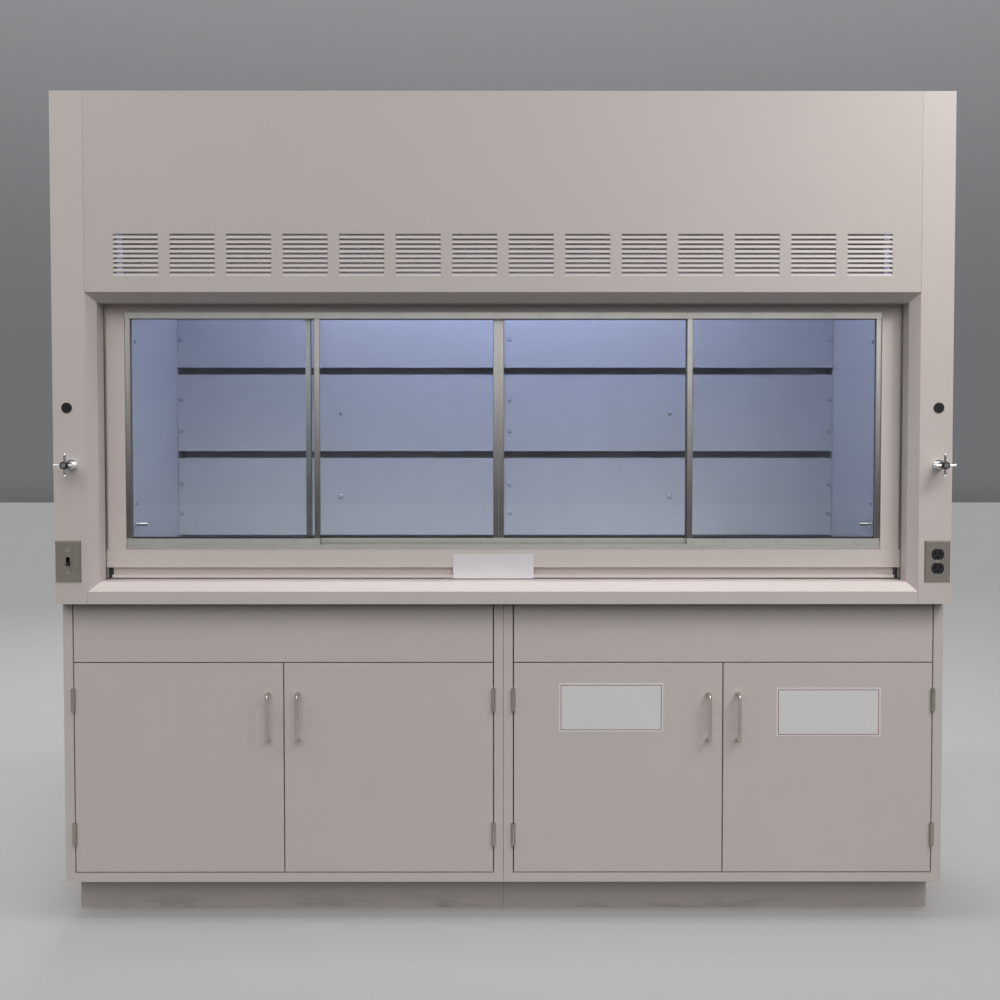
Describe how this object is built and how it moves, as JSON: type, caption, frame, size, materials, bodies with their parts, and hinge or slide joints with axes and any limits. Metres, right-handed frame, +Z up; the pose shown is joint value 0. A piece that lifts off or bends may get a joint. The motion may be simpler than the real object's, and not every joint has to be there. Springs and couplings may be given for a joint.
{
  "type": "fume hood",
  "caption": "Bench fume hood with a counterbalanced sash of sliding glass panes, louvred header, baffled chamber and steel base cabinets with hinged doors.",
  "frame": {"origin": "on the floor, at the middle of the overall box in X and Y", "axes": "+Z up, the sash and doors face -Y, +X to the user's right when facing the hood"},
  "size_m": [2.438, 0.873, 2.273],
  "materials": {
    "steel_paint": "semi-gloss powder coat",
    "liner_panel": "smooth composite board",
    "nylon_white": "moulded",
    "epoxy_black": "cast epoxy resin",
    "aluminium": "satin anodised",
    "pane_glass": "laminated safety glass",
    "lens_glass": "clear",
    "lamp_white": "phosphor coated",
    "galvanised": "galvanised",
    "stainless": "brushed",
    "chrome": "polished",
    "black_plastic": "moulded",
    "wire_rope": "stranded",
    "cast_iron": "painted",
    "machined_steel": "machined",
    "foot_steel": "zinc plated"
  },
  "bodies": {
    "hood": {"left_post": "steel_paint", "right_post": "steel_paint", "header_panel": "steel_paint", "sill": "steel_paint", "side_panels": "steel_paint", "left_cabinet": "steel_paint", "right_cabinet": "steel_paint", "apron_panels": "steel_paint", "plinths": "steel_paint", "cabinet_shelves": "steel_paint", "left_liner": "liner_panel", "right_liner": "liner_panel", "rear_liner": "liner_panel", "ceiling_liner": "liner_panel", "baffle_panels": "liner_panel", "baffle_fixings": "nylon_white", "work_surface": "epoxy_black", "sash_guides": "aluminium", "light_lens": "lens_glass", "light_tubes": "lamp_white", "top_frame": "galvanised", "exhaust_collars": "galvanised", "light_housing": "galvanised", "cover_plates": "stainless", "plate_screws": "stainless", "cabinet_hinges": "stainless", "service_fittings": "chrome", "hole_plugs": "black_plastic", "wiring_devices": "black_plastic", "sash_cables": "wire_rope", "levelling_feet": "foot_steel"},
    "sash": {"sash_frame": "steel_paint", "sash_handle": "steel_paint", "sash_tracks": "aluminium"},
    "pane_1": {"pane_1_glass": "pane_glass", "pane_1_trim": "aluminium"},
    "pane_2": {"pane_2_glass": "pane_glass", "pane_2_trim": "aluminium"},
    "pane_3": {"pane_3_glass": "pane_glass", "pane_3_trim": "aluminium"},
    "pane_4": {"pane_4_glass": "pane_glass", "pane_4_trim": "aluminium"},
    "door_1": {"door_1": "steel_paint", "door_1_pull": "stainless", "door_1_hinge_leaves": "stainless"},
    "door_2": {"door_2": "steel_paint", "door_2_pull": "stainless", "door_2_hinge_leaves": "stainless"},
    "door_3": {"door_3": "steel_paint", "door_3_pull": "stainless", "door_3_hinge_leaves": "stainless"},
    "door_4": {"door_4": "steel_paint", "door_4_pull": "stainless", "door_4_hinge_leaves": "stainless"},
    "left_valve": {"left_valve_handle": "chrome"},
    "right_valve": {"right_valve_handle": "chrome"},
    "toggle": {"switch_toggle": "black_plastic"},
    "counterweights": {"counterweights": "cast_iron"},
    "front_shaft": {"front_sheaves": "machined_steel"},
    "rear_shafts": {"rear_sheaves": "machined_steel"}
  },
  "joints": [
    {"name": "sash_lift", "type": "slide", "parent": "hood", "child": "sash", "axis": [0, 0, 1], "range_m": [0, 0.457], "deforming": ["sash_cables"]},
    {"name": "pane_1_slide", "type": "slide", "parent": "sash", "child": "pane_1", "axis": [1, 0, 0], "range_m": [0, 0.51]},
    {"name": "pane_2_slide", "type": "slide", "parent": "sash", "child": "pane_2", "axis": [1, 0, 0], "range_m": [-0.497, 0]},
    {"name": "pane_3_slide", "type": "slide", "parent": "sash", "child": "pane_3", "axis": [1, 0, 0], "range_m": [0, 0.525]},
    {"name": "pane_4_slide", "type": "slide", "parent": "sash", "child": "pane_4", "axis": [1, 0, 0], "range_m": [-0.51, 0]},
    {"name": "counterweight_drop", "type": "slide", "parent": "hood", "child": "counterweights", "axis": [0, 0, 1], "range_m": [-0.46, 0]},
    {"name": "front_shaft_turn", "type": "hinge", "parent": "hood", "child": "front_shaft", "pos_m": [0, -0.2245, 2.228], "axis": [1, 0, 0], "range_deg": [-760, 0]},
    {"name": "rear_sheave_turn", "type": "hinge", "parent": "hood", "child": "rear_shafts", "pos_m": [0, 0.1255, 2.228], "axis": [1, 0, 0], "range_deg": [-760, 0]},
    {"name": "door_1_hinge", "type": "hinge", "parent": "hood", "child": "door_1", "pos_m": [-1.1915, -0.3314, 0.428], "axis": [0, 0, -1], "range_deg": [0, 110]},
    {"name": "door_2_hinge", "type": "hinge", "parent": "hood", "child": "door_2", "pos_m": [-0.0275, -0.3314, 0.428], "axis": [0, 0, 1], "range_deg": [0, 85]},
    {"name": "door_3_hinge", "type": "hinge", "parent": "hood", "child": "door_3", "pos_m": [0.0275, -0.3314, 0.428], "axis": [0, 0, -1], "range_deg": [0, 85]},
    {"name": "door_4_hinge", "type": "hinge", "parent": "hood", "child": "door_4", "pos_m": [1.1915, -0.3314, 0.428], "axis": [0, 0, 1], "range_deg": [0, 110]},
    {"name": "left_valve_turn", "type": "hinge", "parent": "hood", "child": "left_valve", "pos_m": [-1.169, -0.4245, 1.268], "axis": [0, -1, 0], "range_deg": [0, 540]},
    {"name": "right_valve_turn", "type": "hinge", "parent": "hood", "child": "right_valve", "pos_m": [1.181, -0.4245, 1.268], "axis": [0, -1, 0], "range_deg": [0, 540]},
    {"name": "toggle_flip", "type": "hinge", "parent": "hood", "child": "toggle", "pos_m": [-1.181, -0.3685, 1.006], "axis": [-1, 0, 0], "range_deg": [0, 40]}
  ],
  "couplings": [
    {"joint": "counterweight_drop", "follows": "sash_lift", "ratio": -1},
    {"joint": "front_shaft_turn", "follows": "sash_lift", "rad_per_m": -28.571},
    {"joint": "rear_sheave_turn", "follows": "sash_lift", "rad_per_m": -28.571}
  ]
}
